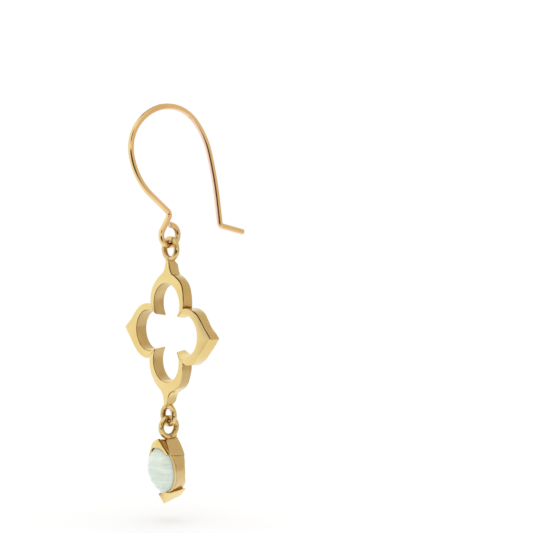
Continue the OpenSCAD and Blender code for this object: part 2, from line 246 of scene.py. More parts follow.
# The material reads the side for its two painted tints, which stand in for light: a pink highlight on
# the inside of the bow and a yellow-green fringe of light on its outside. The two middle points of the
# ends take none.
sideValues = np.append(np.tile(bowSide, len(hookRings)), (0, 0))
hookWire.data.attributes.new("bowSide", "FLOAT", "POINT").data.foreach_set("value", sideValues)
print("hook wire:", len(hookWire.data.polygons), "faces")


# Rings: round wire closed to a circle

ringLook = {
    # painted shade inside and where rings touch, painted shade at the joint, a painted reflection streak
    "count": 96, "sides": 28, "shadeAndGrime": 0.18, "insideShade": 0.5, "contactShade": 0.6,
    "solderJointShade": 0.75, "mostShade": 0.68, "reflectionStreak": 1.4,
}


def ringRings(centre, radius, wireR, plane):
    # Circle of the given radius in the plane "XZ" or "YZ", with a round wire carried along it: the distance
    # from the centre is the radius plus the wire's times the cosine, the side is the wire's times the sine.
    a, b = fullTurn(ringLook["count"])[:, None], fullTurn(ringLook["sides"])[None]
    out = radius + wireR * np.cos(b)
    side = wireR * np.sin(b) + 0 * a
    u, v = out * np.sin(a), out * np.cos(a)
    parts = (u, side, v) if plane == "XZ" else (side, u, v)
    return np.stack(parts, -1) + np.asarray(centre)


def ringPiece(name, rings, contact, streakAt):
    # The ring is a little darker all over, with painted shade on its inside, most of all where the next
    # ring lies: contact is 1 at the top and -1 at the bottom. The solder joint lies opposite, dark, with
    # painted shade where the ring meets the part it is fixed to. A painted reflection streak lies at two
    # angles, round the ring and round its wire.
    a, b = fullTurn(ringLook["count"])[:, None], fullTurn(ringLook["sides"])[None]
    inside = np.clip(-np.cos(b), 0, 1)
    near = np.exp((contact * np.cos(a) - 1) / 0.12)
    solder = np.exp((-contact * np.cos(a) - 1) / 0.03)
    atRing, atWire = np.radians(streakAt)
    line = np.exp((np.cos(a - atRing) - 1) / 0.25) * np.exp((np.cos(b - atWire) - 1) / 0.035)
    shadeAndGrime = ringLook["shadeAndGrime"] + inside * (ringLook["insideShade"] + ringLook["contactShade"] * near)
    shadeAndGrime = np.minimum(np.maximum(shadeAndGrime, ringLook["solderJointShade"] * solder), ringLook["mostShade"])
    return loopPiece(name, rings, np.maximum(shadeAndGrime, ringLook["reflectionStreak"] * line))


# Quatrefoil: a frame between an outer outline of pointed lobes and a four-lobed opening

quatrefoil = {
    "ringY": 0.7, "plateY": 0.9, "plateZ": -31.05, "thickness": 1.65,
    "lobeR": 3.75, "lobeOut": 4.3, "pierceR": 2.88, "pierceOut": 3.98,
    "neckW": 0.8, "flankR": 2.0, "tipEnd": 10.05, "tipChamfer": 0.65,
    "edge": 0.15, "innerEdge": 0.1, "draft": 0.16, "perHalf": 40,
    # The rings' painted reflection streak lies at (90, -65) degrees, round the ring and round its wire.
    "topRingR": 1.37, "lowRingR": 1.25, "topRingZ": -19.4738, "lowRingZ": -42.5062, "streakAt": (90, -65),
    # Hand filing. A hill is its height, its place across and up from the middle, and its width.
    "neckHollow": (0.24, 1.25, 8.6, 0.6), "tipHollow": (0.12, 8.3, 1.4, 0.6),
    "rightHollow": (0.168, 1.4, 8.5, 0.35), "shoulder": (0.26, 2.9, 7.1, 1.0),
    "sideShoulder": (0.2, 6.3, 3.1, 1.0), "frontNeck": (0.24, 1.4, 8.5, 0.4),
    "frontShoulder": (0.22, 3.1, 7.1, 1.1), "under": 0.28, "tip": 0.15, "flankSwell": 0.25,
    # Painted shade and painted reflection, as hills in one place and as a share elsewhere.
    "upperLine": (1, 2.6, 7.6, 0.9), "rightLine": (1, 5.9, 3.4, 1.4), "lowLine": (1, 1.2, -8.5, 0.7),
    "faceShade": (0.55, 7.5, 0.8, 2.2), "notchShade": (0.7, 3.7, 3.7, 0.4),
    "edgeLine": 1.2, "edgeTint": 0.25, "innerWall": 0.42, "innerLine": 0.9, "lowWall": 0.45,
    "neckWall": 0.2, "sideWall": 0.3,
}


def alongLine(points, count):
    # Even steps along a polyline, both ends kept.
    points = np.asarray(points, float)
    length = np.concatenate([[0], np.cumsum(np.hypot(*np.diff(points, axis=0).T))])
    s = np.linspace(0, length[-1], count)
    return np.stack([np.interp(s, length, points[:, 0]), np.interp(s, length, points[:, 1])], -1)


def halfLobe(hasNeck):
    # Right half of the upper lobe, from the notch on the diagonal to the middle line: the outer edge is an
    # arc that runs into a 45 degree flank, or into a hollow flank and a neck; the inner edge is one arc.
    q, n = quatrefoil, quatrefoil["perHalf"]
    notch = q["lobeOut"] / 2 + np.sqrt(q["lobeR"] ** 2 / 2 - q["lobeOut"] ** 2 / 4)
    a0 = np.arctan2(notch - q["lobeOut"], notch)
    a = np.linspace(a0, np.pi / 4, 60)
    outer = np.stack([q["lobeR"] * np.cos(a), q["lobeOut"] + q["lobeR"] * np.sin(a)], -1)
    tipZ = q["lobeOut"] + q["lobeR"] * np.sqrt(2)
    if hasNeck:
        flank = np.array([q["neckW"] / 2 + q["flankR"],
                          tipZ - q["neckW"] / 2 + q["flankR"] * np.tan(np.pi / 8)])
        b = np.radians(np.linspace(225, 180, 30))[:, None]
        hollow = flank + q["flankR"] * np.concatenate([np.cos(b), np.sin(b)], 1)
        outer = np.concatenate([outer, hollow, [[q["neckW"] / 2, q["tipEnd"]]]])
        outer = np.concatenate([alongLine(outer, n), [[0, q["tipEnd"]]]])
    else:
        outer = alongLine(np.concatenate([outer, [[0, tipZ]]]), n + 1)
    cusp = q["pierceOut"] / 2 + np.sqrt(q["pierceR"] ** 2 / 2 - q["pierceOut"] ** 2 / 4)
    c = np.linspace(np.arctan2(cusp - q["pierceOut"], cusp), np.pi / 2, n + 1)
    inner = np.stack([q["pierceR"] * np.cos(c), q["pierceOut"] + q["pierceR"] * np.sin(c)], -1)
    return outer, inner


def plateOutlines():
    # Four lobes, each a half and its mirror image, the neck ones up and down.
    outerAll, innerAll = [], []
    for k in range(4):
        outer, inner = halfLobe(k % 2 == 0)
        mirror = np.array([-1, 1])
        outer = np.concatenate([outer, (outer * mirror)[-2:0:-1]])
        inner = np.concatenate([inner, (inner * mirror)[-2:0:-1]])
        a = np.radians(90 * k)
        turn = np.array([[np.cos(a), np.sin(a)], [-np.sin(a), np.cos(a)]])
        outerAll.append(outer @ turn)
        innerAll.append(inner @ turn)
    return np.concatenate(outerAll), np.concatenate(innerAll)


def sideways(loop, size):
    # A closed outline moved inwards (to the left of its run) by one size or one for each point, with mitred
    # corners.
    before, after = loop - np.roll(loop, 1, 0), np.roll(loop, -1, 0) - loop
    n1 = np.stack([-before[:, 1], before[:, 0]], -1) / np.linalg.norm(before, axis=1, keepdims=True)
    n2 = np.stack([-after[:, 1], after[:, 0]], -1) / np.linalg.norm(after, axis=1, keepdims=True)
    middle = n1 + n2
    middle /= np.linalg.norm(middle, axis=1, keepdims=True)
    share = np.clip(np.einsum("ij,ij->i", middle, n1), 0.5, 1)
    return loop + np.asarray(size)[..., None] * middle / share[:, None]


def hill(x, z, shape):
    # Round hill: its height times e to minus half the squared distance over the squared width.
    height, atX, atZ, width = shape
    return height * np.exp(-((x - atX) ** 2 + (z - atZ) ** 2) / (2 * width ** 2))


def filedBy(outer):
    # Where the hand-filed outline leaves the drawn one, front and rear alike: hollow beside both necks and
    # both tips, full on the right shoulders, under both side lobes and at the right tip.
    q = quatrefoil
    x, z = outer.T
    hollow = hill(np.abs(x), np.abs(z), q["neckHollow"]) + hill(np.abs(x), np.abs(z), q["tipHollow"])
    hollow = hollow + hill(x, z, q["rightHollow"])
    shoulder = np.where(x > 0, hill(x, np.abs(z), q["shoulder"]), 0) + hill(x, z, q["sideShoulder"])
    under = ramp(np.abs(x), 3.5, 4.5) * ramp(z, -0.3, -1.3) * np.where(x > 0, 1.2, 0.8)
    return shoulder - hollow + q["under"] * under + q["tip"] * ramp(x, 7.5, 9)


def frontSwell(outer):
    # How far the front edge stands out beyond the rear one: a hill that fills the hollow above the upper
    # lobe's right shoulder, one on that shoulder, and an even swell along the right lobe's upper flank. The
    # right lobe's own shoulder is full at the rear only, so it comes off again here.
    q = quatrefoil
    x, z = outer.T
    flank = ramp(x, 5.2, 6.8) * ramp(z, -1.2, 0) * ramp(x, 9.6, 8)
    hills = hill(x, z, q["frontNeck"]) + hill(x, z, q["frontShoulder"]) - hill(x, z, q["sideShoulder"])
    return hills + q["flankSwell"] * flank


def plateRings():
    # Both outlines moved sideways and set at a depth, row by row round the section: 0 to 4 outer front
    # edge, 5 to 7 outer rear edge, 8 and 9 rear face, 10 to 12 inner rear edge, 13 to 17 inner front edge.
    # Rounded edges are quarter circles.
    q = quatrefoil
    outer, inner = plateOutlines()
    outer = sideways(outer, -filedBy(outer))
    swell = frontSwell(outer)
    front, back = -q["thickness"] / 2, q["thickness"] / 2
    rows = []
    e = q["edge"]
    for a in np.radians([90, 68, 45, 22, 0]):
        rows.append((sideways(outer, e - e * np.cos(a) - swell), front + e - e * np.sin(a)))
    rows.append((outer, back - e * 0.6))
    rows.append((sideways(outer, e * 0.2), back - e * 0.2))
    rows.append((sideways(outer, e * 0.6), back))
    i = q["innerEdge"]
    narrow = sideways(inner, q["draft"])
    # Two rows that keep the rear face flat; the first stops where the corner of the neck's end is cut off.
    within = sideways(outer, e * 0.6 + 0.08)
    flat = q["tipEnd"] - q["tipChamfer"] - 0.01
    within[:, 1] = np.clip(within[:, 1], -flat, flat)
    rows.append((within, back))
    rows.append((sideways(narrow, -i * 0.6 - 0.08), back))
    rows.append((sideways(narrow, -i * 0.6), back))
    rows.append((sideways(narrow, -i * 0.2), back - i * 0.2))
    rows.append((narrow, back - i * 0.6))
    for a in np.radians([0, 22, 45, 68, 90]):
        rows.append((sideways(inner, -(i - i * np.cos(a))), front + i - i * np.sin(a)))
    rings = np.stack([np.stack([p[:, 0], np.full(len(p), y), p[:, 1]], -1) for p, y in rows], 1)
    # The rear corner of each neck's end is cut off at 45 degrees.
    over = (rings[:, :, 1] - back) + (np.abs(rings[:, :, 2]) - q["tipEnd"] + q["tipChamfer"])
    rings[:, :, 1] -= np.clip(over, 0, None)
    return rings + np.array([0, q["plateY"], q["plateZ"]])


def directions(loop):
    # Unit direction from each point's neighbour before to its neighbour after.
    along = np.roll(loop, -1, 0) - np.roll(loop, 1, 0)
    return along / np.linalg.norm(along, axis=1, keepdims=True)


def platePaintedShade():
    # Painted reflection: a dark line in the rounded edge of the upper right flanks and by the lower neck,
    # and a darker patch on the right lobe's front face. Painted shade: brown outer walls facing right, at
    # the notches, by the upper neck and on the lower lobe's right side. Brown inner walls on the left with
    # a dark line in their front edge, partly a less polished finish and partly painted shade. The outlines'
    # directions choose the sides, and the columns follow the rows of plateRings.
    q = quatrefoil
    outer, inner = plateOutlines()
    along, within = directions(outer), directions(inner)
    right = ramp(along[:, 1], 0.2, 0.5) * ramp(along[:, 0], 0.1, -0.2)
    left = ramp(within[:, 1], -0.1, -0.4) * ramp(inner[:, 0], 1.2, 0.6)
    x, z = outer.T
    lines = [hill(x, z, q["upperLine"]), hill(x, z, q["rightLine"]), q["edgeTint"] * ramp(x, 5, 6.5)]
    walls = [
        q["lowWall"] * ramp(x, 2, 2.5) * ramp(z, -8, -7.2) * ramp(z, -3.4, -3.8),
        q["neckWall"] * ramp(z, 7.6, 8.2) * ramp(x, 0, 0.2),
        q["sideWall"] * ramp(along[:, 1], 0, 0.3) * ramp(along[:, 0], 0.75, 0.45),
        hill(x, np.abs(z), q["notchShade"]),
    ]
    shadeAndGrime = np.zeros((len(outer), 18))
    shadeAndGrime[:, 0] = hill(x, z, q["faceShade"])
    shadeAndGrime[:, 1] = right * np.max(lines, 0)
    shadeAndGrime[:, 2:4] = np.maximum(q["edgeLine"] * right, hill(x, z, q["lowLine"]))[:, None]
    shadeAndGrime[:, 4:7] = np.max(walls, 0)[:, None]
    shadeAndGrime[:, 10:14] = q["innerWall"] * left[:, None]
    shadeAndGrime[:, 14:16] = q["innerLine"] * left[:, None]
    return shadeAndGrime


quatrefoilPlate = loopPiece("quatrefoilPlate", plateRings(), platePaintedShade())
topRing, lowRing = (
    ringPiece(name, ringRings((0, quatrefoil["ringY"], z), radius, hook["wireR"], "XZ"), contact,
              quatrefoil["streakAt"])
    for name, z, radius, contact in (("topRing", quatrefoil["topRingZ"], quatrefoil["topRingR"], 1),
                                     ("lowRing", quatrefoil["lowRingZ"], quatrefoil["lowRingR"], -1)))
print("quatrefoil:", len(quatrefoilPlate.data.polygons), "faces")


# Drop: everything is drawn round the stone's middle, x across, w up and y to the rear of the hinge

drop = {
    # The setting ring's painted reflection streak lies at (-50, 80) degrees.
    "hinge": (0, 0.7, -43.7562), "lean": 7.8, "stoneDrop": 6.0, "ringR": 1.3, "streakAt": (-50, 80),
    "stoneW": 5.35, "stoneL": 7.7, "pointAngle": 52, "pointH": 1.15, "gap": 0.03,
    "girdleFront": 1.72, "girdleT": 0.24, "crownH": 1.36, "pavilionH": 1.0,
    "crownShares": [0.42, 0.64, 0.87, 1, 1.12], "crownHeights": [1, 0.85, 0.53, 0, -0.15],
}


def inDrop(x, w, y):
    # Leans the drop about the hinge and puts it in place.
    a = np.radians(drop["lean"])
    x, w, y = np.broadcast_arrays(x, w, y)
    z = w - drop["stoneDrop"]
    place = np.stack([x, y * np.cos(a) - z * np.sin(a), y * np.sin(a) + z * np.cos(a)], -1)
    return place + np.array(drop["hinge"])


def ovalOutline(side, tip, perTip=8, perSide=44):
    # Pointed oval grown by side and tip: two arcs that run into straight-sided points.
    hw, hl = drop["stoneW"] / 2 + side, drop["stoneL"] / 2 + tip
    pz, px = hl - drop["pointH"], drop["pointH"] * np.tan(np.radians(drop["pointAngle"]))
    r = ((hw - px) ** 2 + pz ** 2) / (2 * (hw - px))
    a = np.arcsin(pz / r)
    arc = np.linspace(-a, a, perSide + 1)
    right = np.stack([hw - r + r * np.cos(arc), r * np.sin(arc)], -1)
    t = np.linspace(0, 1, perTip + 1)[1:-1, None]
    top = right[-1] * (1 - t) + np.array([0, hl]) * t
    half = np.concatenate([right, top, [[0, hl]], (top * np.array([-1, 1]))[::-1]])
    return np.concatenate([half, -half])


# Setting: the wall round the stone, the roof with its lip above, and the cap below

wall = {
    "side": 0.42, "tip": 0.36, "front": 1.9, "taperW": 0.77, "taperL": 0.9, "seat": 1.2, "seatTip": 2.2,
    "tuck": 0.07, "sideBack": 0.2, "sideRise": 0.3, "sideFall": 1.2, "footBack": 1.05,
    # painted shade in the window, on the wall, groove, rim and seat, and by both caps
    "windowShade": 0.6, "sideShade": 0.3, "grooveShade": 0.5, "rimShade": 0.3, "seatShade": (0.85, 0.3),
    "footShade": 0.52, "underShade": 0.66,
}
roof = {
    "ridgeDrop": 1.68, "leg": 2.4, "angle": 42.5, "ridgeFront": 0.44, "legFront": 1.95, "ridgeBack": 1.27,
    "middleBack": 1.1, "legBack": 0.66, "fall": 14, "thickness": 0.42, "flare": 0.12, "edge": 0.05,
    # painted brown reflection on the sheet, painted shade under it and at the front of its fold
    "stations": 14, "shadeAndGrime": (0.3, 0.3, 0.7, 0.8), "foldShade": (0.7, 0, 0, 0.2),
}
cap = {
    "pointDrop": 10.96, "legDrop": 9.4, "angle": 42, "front": 2.13, "back": 0.95, "rise": 9, "taper": 0.85,
    # painted shadow on the cap's top
    "top": 1.72, "leftLeg": 0.74, "edge": 0.03, "stations": 14, "shadeAndGrime": (0, 0, 0.7, 0.8),
}


def rearEdge(w):
    # Depth of the setting's rear edge at a height above the stone's middle, in straight runs from the lower
    # cap by the foot and the side to the roof's leg, middle and ridge.
    ridge = drop["stoneDrop"] - roof["ridgeDrop"]
    leg = ridge - roof["leg"]
    heights = [drop["stoneDrop"] - cap["pointDrop"], drop["stoneDrop"] - cap["legDrop"], -wall["sideFall"],
               wall["sideRise"], leg, (leg + ridge) / 2, ridge]
    depths = [cap["back"], wall["footBack"], wall["sideBack"], wall["sideBack"], roof["legBack"],
              roof["middleBack"], roof["ridgeBack"]]
    return np.interp(w, heights, depths)


def galleryRings():
    # Closed section carried round the oval: window edge, rear face, outer wall with a fine groove, rim and
    # seat. The wall narrows evenly to the rear and is tucked in a little more under the upper cap.
    tipShare = 1 / np.sin(np.radians(drop["pointAngle"]))
    length = wall["front"] + roof["ridgeBack"]

    def outer(inset, depth):
        o = ovalOutline(wall["side"] - inset, wall["tip"] - inset * tipShare)
        part = np.asarray((depth + wall["front"]) / length)[..., None]
        scale = 1 - part * np.array([1 - wall["taperW"], 1 - wall["taperL"]])
        return o * scale * (1 - wall["tuck"] * ramp(o[:, 1:], 1.9, 2.3) * ramp(part, 0.2, 0.3))
    window = ovalOutline(-wall["seat"], -wall["seatTip"])
    plain = ovalOutline(wall["side"], wall["tip"])
    rear = rearEdge(plain[:, 1] * 0.95)
    front = -wall["front"]
    rows = [(window, rear - 0.07), (window + (plain - window) * 0.06, rear)]
    rows += [(outer(inset, depth), depth) for inset, depth in (
        (0.1, rear), (0.03, rear - 0.03), (0, rear - 0.1), (0, rear * 0.5 - 0.5), (0, -1.2), (0, -1.5),
        (0.05, -1.54), (0.06, -1.6), (0.02, -1.66), (0, front + 0.1), (0.03, front + 0.03), (0.1, front))]
    rows += [(ovalOutline(grow, grow * tipShare), depth) for grow, depth in (
        (0.12, front - 0.01), (0.06, front + 0.01), (drop["gap"], front + 0.07), (drop["gap"], -1.56))]
    rows.append((window, -0.84))
    return np.stack([inDrop(p[:, 0], p[:, 1], y) for p, y in rows], 1)


def galleryShade():
    # Painted shade: darker in the window, on the outer wall, in the groove, on the rim and on the seat, and
    # more above the lower cap and under the upper one. Columns follow galleryRings: 0 window, 2 to 7 outer
    # wall, 8 to 10 groove, 12 to 14 rim, 15 on seat.
    outline = ovalOutline(0, 0)
    shadeAndGrime = np.zeros((len(outline), 19))
    shadeAndGrime[:, 0] = wall["windowShade"]
    shadeAndGrime[:, 2:8] = wall["sideShade"]
    shadeAndGrime[:, 8:11] = wall["grooveShade"]
    shadeAndGrime[:, 12:15] = wall["rimShade"]
    shadeAndGrime[:, 15:] = np.where(outline[:, :1] > -0.5, *wall["seatShade"])
    shadeAndGrime[:, 3:13] = np.maximum(shadeAndGrime[:, 3:13], wall["footShade"] * ramp(outline[:, 1:], -2.6, -3.1))
    shadeAndGrime[:, 6:15] = np.maximum(shadeAndGrime[:, 6:15], wall["underShade"] * ramp(outline[:, 1:], 1.8, 2.1))
    return shadeAndGrime


gallery = loopPiece("gallery", galleryRings(), galleryShade())


def foldStations(half, count):
    # Distances from the fold out to both ends, minus on the left.
    right = np.linspace(0, half, count)
    return np.concatenate([-right[:0:-1], right])


def stripRows(start, end, form):
    # Even values from the left end to the right one, for each row of a strip with the form's stations.
    return np.linspace(start, end, 2 * form["stations"] + 1)[:, None]


def roofSections():
    # V sheet: at a drop q below the ridge, x is q times the tangent of the half angle, its front runs
    # straight and its rear along a parabola between stated depths, the whole falls to the rear by the
    # ridge's slope, and it flares a little towards the front.
    angle = np.radians(roof["angle"])
    q = foldStations(roof["leg"], roof["stations"])
    side, q = np.sign(q), np.abs(q)
    part = q / roof["leg"]
    front = -(roof["ridgeFront"] + (roof["legFront"] - roof["ridgeFront"]) * part)
    curve = np.polyfit([0, 0.5, 1], [roof["ridgeBack"], roof["middleBack"], roof["legBack"]], 2)
    back = np.polyval(curve, part)
    ridge = drop["stoneDrop"] - roof["ridgeDrop"]
    sheet = roof["thickness"] / np.sin(angle)

    def corner(depth, inwards):
        x = side * (np.clip(q - sheet, 0, None) if inwards else q) * np.tan(angle)
        x = x * (1 + roof["flare"] * np.clip(-depth / roof["legFront"], 0, 1))
        level = ridge - (np.maximum(q, sheet) if inwards else q)
        return inDrop(x, level - (depth + roof["ridgeFront"]) * np.tan(np.radians(roof["fall"])), depth)
    return np.stack([corner(front, False), corner(back, False), corner(back, True), corner(front, True)], 1)


# Painted reflection and shade: brown on the sheet, dark under it and at the front of its fold, where
# the ring is soldered on.
foldShare = np.exp(-(stripRows(-1, 1, roof) / 0.12) ** 2)
roofShade = foldShare * roof["foldShade"] + roof["shadeAndGrime"]
upperRoof = stripPiece("upperRoof", roofSections(), roof["edge"], roofShade)


def crownDepth(x, w, lift):
    # Depth of the stone's crown: the share of the outline that a point lies at gives the height.
    outline = ovalOutline(0, 0)
    angle = np.arctan2(outline[:, 0] / drop["stoneW"], outline[:, 1] / drop["stoneL"])
    size = np.hypot(outline[:, 0] / drop["stoneW"], outline[:, 1] / drop["stoneL"])
    order = np.argsort(angle)
    at = np.arctan2(x / drop["stoneW"], w / drop["stoneL"])
    edge = np.interp(at, angle[order], size[order], period=2 * np.pi)
    share = np.hypot(x / drop["stoneW"], w / drop["stoneL"]) / edge
    height = np.interp(share, drop["crownShares"], drop["crownHeights"]) * drop["crownH"]
    return -drop["girdleFront"] - drop["girdleT"] / 2 - height - lift


lip = {
    "drop": 1.72, "angle": 45, "arm": 1.95, "thickness": 0.36, "front": 2.13, "full": 0.3, "edge": 0.05,
    "hollowW": 2.45, "hollowH": 3.25, "gap": 0.02, "lap": 0.05, "rim": 0.16,
    # painted shade on the lip's back and outer side, darkest near the front
    "stations": 18, "shadeAndGrime": (0, 0, 0.4, 0.75, 1),
}


def lipSections():
    # V over the upper point: its outer edge falls from the fold at the lip's half angle, fuller on the left
    # by a half sine wave, its inner edge is an ellipse round the stone's middle, and both end level.
    share = foldStations(1, lip["stations"])
    side, share = np.sign(share), np.abs(share)
    top = drop["stoneDrop"] - lip["drop"]
    full = lip["full"] * np.sin(np.pi * share) * (side < 0)
    outW = top - share * lip["arm"] + full
    outX = side * share * lip["arm"] * np.tan(np.radians(lip["angle"])) - full
    inW = lip["hollowH"] + share ** 1.5 * (top - lip["arm"] - lip["hollowH"])
    inX = side * lip["hollowW"] * np.sqrt(1 - (inW / lip["hollowH"]) ** 2)
    front = inDrop(outX, outW, -lip["front"])
    inFront = inDrop(inX, inW, crownDepth(inX, inW, lip["thickness"]))
    inBack = inDrop(inX, inW, crownDepth(inX, inW, lip["gap"]))
    back = inDrop(outX, outW, -drop["girdleFront"] + lip["lap"])
    return np.stack([front, inFront, inBack, back, inDrop(outX, outW, lip["rim"] - lip["front"])], 1)


# Painted shade behind the lip grows from the left arm to the right one.
lipShare = np.clip(stripRows(-0.6, 1.8, lip), 0.15, 1)
upperLip = stripPiece("upperLip", lipSections(), lip["edge"], lipShare * lip["shadeAndGrime"])


def capSections():
    # Solid V that laps over the stone's lower point: x is the rise q times the tangent of the half angle,
    # the ridge rises to the rear, the width narrows there, the left leg is the shorter one, and the top
    # runs straight between the legs.
    angle = np.radians(cap["angle"])
    reach = cap["pointDrop"] - cap["legDrop"]
    q = foldStations(reach, cap["stations"])
    side, q = np.sign(q), np.abs(q)
    shorter = 1 - (1 - cap["leftLeg"]) * (side < 0) * q / reach
    q = q * np.where(side < 0, cap["leftLeg"], 1)
    point = drop["stoneDrop"] - cap["pointDrop"]
    rise = (cap["front"] + cap["back"]) * np.tan(np.radians(cap["rise"]))

    def corner(depth, lift, width, top):
        x = side * q * np.tan(angle) * width
        level = np.maximum(cap["top"] * shorter, q + 0.04) if top else q
        return inDrop(x, point + lift + level * (reach - lift) / reach, depth)
    front, back = (-cap["front"], 0, 1), (cap["back"], rise, cap["taper"])
    return np.stack([corner(*front, False), corner(*back, False),
                     corner(*back, True), corner(*front, True)], 1)


# Painted shadow on the cap's top fades from its left leg to its right one.
capShare = np.clip(stripRows(1.2, -0.6, cap), 0, 1)
lowerCap = stripPiece("lowerCap", capSections(), cap["edge"], capShare * cap["shadeAndGrime"])


def dropRingRings():
    # The setting's ring stands in the plane of the hook, a gap below the wire that it hangs on, and is
    # turned about the hinge by the drop's lean.
    height = 2 * hook["wireR"] + hook["gap"] - drop["ringR"]
    rings = ringRings((0, 0, height), drop["ringR"], hook["wireR"], "YZ")
    a = np.radians(drop["lean"])
    y, z = rings[..., 1].copy(), rings[..., 2].copy()
    rings[..., 1] = y * np.cos(a) - z * np.sin(a)
    rings[..., 2] = y * np.sin(a) + z * np.cos(a)
    return rings + np.array(drop["hinge"])


dropRing = ringPiece("dropRing", dropRingRings(), 1, drop["streakAt"])

# The solder egg is darkened all over as painted shade at the ring's foot.
egg = {"y": 0.72, "w": 4.3, "halfX": 0.34, "halfY": 0.5, "halfW": 0.5, "shadeAndGrime": 0.66}


def solderRings():
    # An egg of solder behind the ring's foot: circles of growing and shrinking radius along its long axis,
    # scaled to three half sizes.
    a = fullTurn(32)[None]
    t = np.linspace(0.04, np.pi - 0.04, 20)[:, None]
    x, w = egg["halfX"] * np.sin(t) * np.cos(a), egg["halfW"] * np.sin(t) * np.sin(a)
    return inDrop(x, w + egg["w"], egg["halfY"] * np.cos(t) + egg["y"])


eggRings = solderRings()
solder = tubePiece("solder", eggRings, np.full(eggRings.shape[:2], egg["shadeAndGrime"]))
print("setting:", [p.name for p in (gallery, upperRoof, upperLip, lowerCap, dropRing, solder)])


# Moonstone: table, star, kite and girdle facets over a faceted pavilion

stone = {"points": 12, "table": 0.5, "starAt": 0.74, "starHeight": 0.78, "pavilionAt": 0.7,
         "pavilionShare": 0.6, "keel": 0.3}


def stonePiece():
    # Rows of points at shares of the outline, set at a depth: table corners, star points half a step on,
    # the girdle twice with twice as many points, pavilion and keel. The facets are triangles and kites, a
    # band of quads at the girdle, and the flat table and keel.
    d, n = drop, stone["points"]
    fine = ovalOutline(0, 0, 20, 200)
    closed = np.concatenate([fine, fine[:1]])
    length = np.concatenate([[0], np.cumsum(np.hypot(*np.diff(closed, axis=0).T))])
    start = length[np.argmax(fine[:, 1])]

    def at(share):
        s = (start + share * length[-1]) % length[-1]
        return np.stack([np.interp(s, length, closed[:, 0]), np.interp(s, length, closed[:, 1])], -1)
    i = np.arange(n)
    full, half, girdle = at(i / n), at((i + 0.5) / n), at(np.arange(2 * n) / (2 * n))
    top, low = -d["girdleFront"] - d["girdleT"] / 2, -d["girdleFront"] + d["girdleT"] / 2
    rows = [
        (full * stone["table"], top - d["crownH"]),
        (half * stone["starAt"], top - d["crownH"] * stone["starHeight"]),
        (girdle, top), (girdle, low),
        (half * stone["pavilionAt"], low + d["pavilionH"] * stone["pavilionShare"]),
        (full * stone["keel"], low + d["pavilionH"]),
    ]
    points = np.concatenate([inDrop(p[:, 0], p[:, 1], y) for p, y in rows])
    base = np.cumsum([0] + [len(p) for p, _ in rows])
    j = (i + 1) % n
    back = (i - 1) % n
    t, m, g, h, p, k = base[:6]
    g2, g3 = g + 2 * i, g + (2 * i + 1)
    g4 = g + (2 * i + 2) % (2 * n)
    h2, h3, h4 = g2 - g + h, g3 - g + h, g4 - g + h
    stars = np.stack([t + i, t + j, m + i], -1)
    kites = np.stack([t + i, m + i, g2, m + back], -1)
    upper = np.concatenate([np.stack([m + i, g3, g2], -1), np.stack([m + i, g4, g3], -1)])
    band = np.concatenate([np.stack([g2, g3, h3, h2], -1), np.stack([g3, g4, h4, h3], -1)])
    lower = np.concatenate([np.stack([p + i, h2, h3], -1), np.stack([p + i, h3, h4], -1)])
    lowKites = np.stack([k + i, p + back, h2, p + i], -1)
    lowStars = np.stack([k + i, p + i, k + j], -1)
    table = (t + i)[None, ::-1]
    keel = (k + i)[None]
    facets = [stars, kites, upper, band, lower, lowKites, lowStars, table, keel]
    return buildMesh("moonstoneCut", points, facets, 0)


moonstoneCut = stonePiece()
print("stone:", len(moonstoneCut.data.polygons), "facets")


# Materials

golds = {
    # What the painted shade, painted reflection and grime turn the gold into, then how coarse and
    # how strong each pattern is.
    "brown": (0.60, 0.43, 0.21), "amber": (0.42, 0.20, 0.015), "dark": (0.03, 0.017, 0.007), "dull": 0.12,
    "cloudScale": 190, "unevenScale": 650, "uneven": (0.78, 1.2), "markScale": 2600,
    "waveScale": 700, "waveDepth": 0.0002, "lineScale": 6000, "lineStrength": 0.04, "lineDepth": 0.00002,
    # The hook's side tints are painted light: a pink highlight inside the bow, a yellow-green fringe
    # outside.
    "hookGold": {"light": (0.93, 0.67, 0.37), "deep": (0.87, 0.58, 0.28), "roughness": (0.04, 0.10),
                 "wave": 0.08, "insideHighlightTint": (0.95, 0.66, 0.60), "outsideFringeTint": (0.86, 0.70, 0.30)},
    "frameGold": {"light": (0.89, 0.72, 0.34), "deep": (0.84, 0.63, 0.24), "roughness": (0.04, 0.11),
                  "wave": 0.10},
}
milk = {
    "greenish": (0.58, 0.69, 0.58), "white": (0.80, 0.83, 0.77), "scale": 300,
    "bands": (5, 0.68, (1, 1, 7)),  # detail, roughness and stretch
    "relief": (0.05, 0.0001),  # strength and depth in metres
    "glow": 0.6, "glowDepth": 0.0008, "ior": 1.52, "coat": 0.3, "roughness": (0.06, 0.16),
}


def setInputs(tree, node, inputs):
    # Each input takes a number, a colour or another node's output.
    for name, value in inputs.items():
        socket = node.inputs[name]
        if isinstance(value, bpy.types.NodeSocket):
            tree.links.new(value, socket)
        else:
            socket.default_value = (*value, 1) if socket.type == "RGBA" else value


def newNode(tree, kind, inputs, **settings):
    # Settings come first, because some of them decide which inputs there are.
    node = tree.nodes.new("ShaderNode" + kind)
    for name, value in settings.items():
        setattr(node, name, value)
    setInputs(tree, node, inputs)
    return node


def newMaterial(name):
    # Gives the material, its node tree, its shader and the object's own coordinates.
    material = bpy.data.materials.new(name)
    material.use_nodes = True
    tree = material.node_tree
    tree.nodes.clear()
    shader = newNode(tree, "BsdfPrincipled", {})
    newNode(tree, "OutputMaterial", {"Surface": shader.outputs["BSDF"]})
    return material, tree, shader, newNode(tree, "TexCoord", {}).outputs["Object"]


